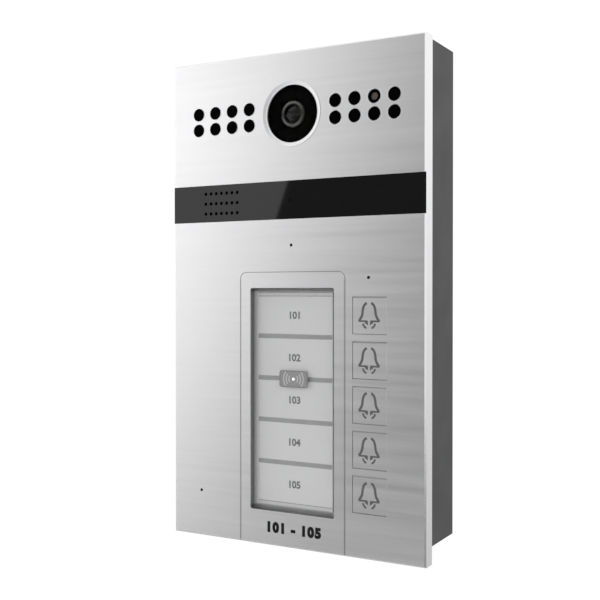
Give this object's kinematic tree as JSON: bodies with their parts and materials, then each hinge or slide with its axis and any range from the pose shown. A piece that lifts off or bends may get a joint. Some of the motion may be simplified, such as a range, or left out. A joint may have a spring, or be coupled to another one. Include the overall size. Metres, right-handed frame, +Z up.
{
  "type": "door intercom panel",
  "caption": "Surface-mounted door intercom panel: brushed faceplate with camera, night lights, speaker band, backlit name window and call keys on a shallow wall box.",
  "frame": {"origin": "centre of the four wall screw holes, on the back plane that rests on the wall", "axes": "+X to the right as seen from the front, +Y from the front face into the wall, +Z up"},
  "size_m": [0.13, 0.0352, 0.225],
  "materials": {
    "brushed_aluminium": "horizontally brushed, clear anodised",
    "bezel_metal": "turned and satin",
    "gloss_black": "gloss",
    "smoked_window": "polished, dark tinted",
    "matte_black": "matte",
    "lens_glass": "coated",
    "ir_acrylic": "satin, passes infrared",
    "sensor_resin": "satin",
    "led_resin": "gloss",
    "circuit_board": "solder mask",
    "chip_black": "moulded epoxy",
    "black_rubber": "soft",
    "speaker_paper": "pressed pulp",
    "speaker_steel": "stamped",
    "magnet_ferrite": "sintered",
    "mic_metal": "plated",
    "clear_pane": "clear, thin",
    "badge_grey": "printed",
    "card_paper": "smooth card",
    "seal_foam": "foam",
    "tray_white": "moulded",
    "diffuser_white": "milky",
    "led_yellow": "phosphor",
    "antenna_copper": "copper track",
    "plunger_ivory": "moulded",
    "relay_blue": "moulded",
    "can_aluminium": "sleeved",
    "terminal_green": "moulded",
    "screw_steel": "stainless",
    "cover_plastic": "moulded",
    "box_grey": "fine matte grain",
    "printed_ink": "screen printed",
    "filter_glass": "coated"
  },
  "bodies": {
    "housing": {"faceplate": "brushed_aluminium", "band_panel": "gloss_black", "camera_bezel": "bezel_metal", "camera_window": "smoked_window", "camera_baffle": "matte_black", "lens_barrel": "matte_black", "camera_lens": "lens_glass", "lens_holder": "matte_black", "image_sensor": "chip_black", "camera_board": "circuit_board", "left_ir_window": "ir_acrylic", "right_ir_window": "ir_acrylic", "light_sensor": "sensor_resin", "ir_leds": "led_resin", "led_boards": "circuit_board", "speaker_gasket": "seal_foam", "speaker_basket": "speaker_steel", "speaker_cone": "speaker_paper", "speaker_magnet": "magnet_ferrite", "status_light": "led_resin", "mic_boots": "black_rubber", "microphones": "mic_metal", "name_cards": "card_paper", "light_seal": "seal_foam", "card_tray": "tray_white", "backlight_diffuser": "diffuser_white", "backlight_leds": "led_yellow", "backlight_board": "circuit_board", "reader_antenna": "antenna_copper", "call_switches": "chip_black", "key_board": "circuit_board", "main_board": "circuit_board", "processor": "chip_black", "relay": "relay_blue", "capacitors": "can_aluminium", "power_terminal": "terminal_green", "network_terminal": "terminal_green", "board_screws": "screw_steel", "rear_cover": "cover_plastic", "cover_screws": "screw_steel", "main_gasket": "black_rubber", "back_box": "box_grey", "cable_grommet": "black_rubber", "lock_screws": "screw_steel"},
    "call_button_1": {"call_button_1": "brushed_aluminium", "switch_plunger_1": "plunger_ivory"},
    "call_button_2": {"call_button_2": "brushed_aluminium", "switch_plunger_2": "plunger_ivory"},
    "call_button_3": {"call_button_3": "brushed_aluminium", "switch_plunger_3": "plunger_ivory"},
    "call_button_4": {"call_button_4": "brushed_aluminium", "switch_plunger_4": "plunger_ivory"},
    "call_button_5": {"call_button_5": "brushed_aluminium", "switch_plunger_5": "plunger_ivory"},
    "name_frame": {"name_frame": "brushed_aluminium", "window_pane": "clear_pane", "reader_badge": "badge_grey", "frame_screw": "screw_steel"},
    "ir_cut_filter": {"ir_cut_filter": "filter_glass"}
  },
  "joints": [
    {"name": "call_button_1_press", "type": "slide", "parent": "housing", "child": "call_button_1", "axis": [0, 1, 0], "range_m": [0, 0.0008], "stiffness_N_per_m": 1500, "springref_m": -0.001},
    {"name": "call_button_2_press", "type": "slide", "parent": "housing", "child": "call_button_2", "axis": [0, 1, 0], "range_m": [0, 0.0008], "stiffness_N_per_m": 1500, "springref_m": -0.001},
    {"name": "call_button_3_press", "type": "slide", "parent": "housing", "child": "call_button_3", "axis": [0, 1, 0], "range_m": [0, 0.0008], "stiffness_N_per_m": 1500, "springref_m": -0.001},
    {"name": "call_button_4_press", "type": "slide", "parent": "housing", "child": "call_button_4", "axis": [0, 1, 0], "range_m": [0, 0.0008], "stiffness_N_per_m": 1500, "springref_m": -0.001},
    {"name": "call_button_5_press", "type": "slide", "parent": "housing", "child": "call_button_5", "axis": [0, 1, 0], "range_m": [0, 0.0008], "stiffness_N_per_m": 1500, "springref_m": -0.001},
    {"name": "name_frame_slide", "type": "slide", "parent": "housing", "child": "name_frame", "axis": [0, 0, -1], "range_m": [0, 0.126]},
    {"name": "ir_cut_filter_shift", "type": "slide", "parent": "housing", "child": "ir_cut_filter", "axis": [1, 0, 0], "range_m": [0, 0.005]}
  ]
}
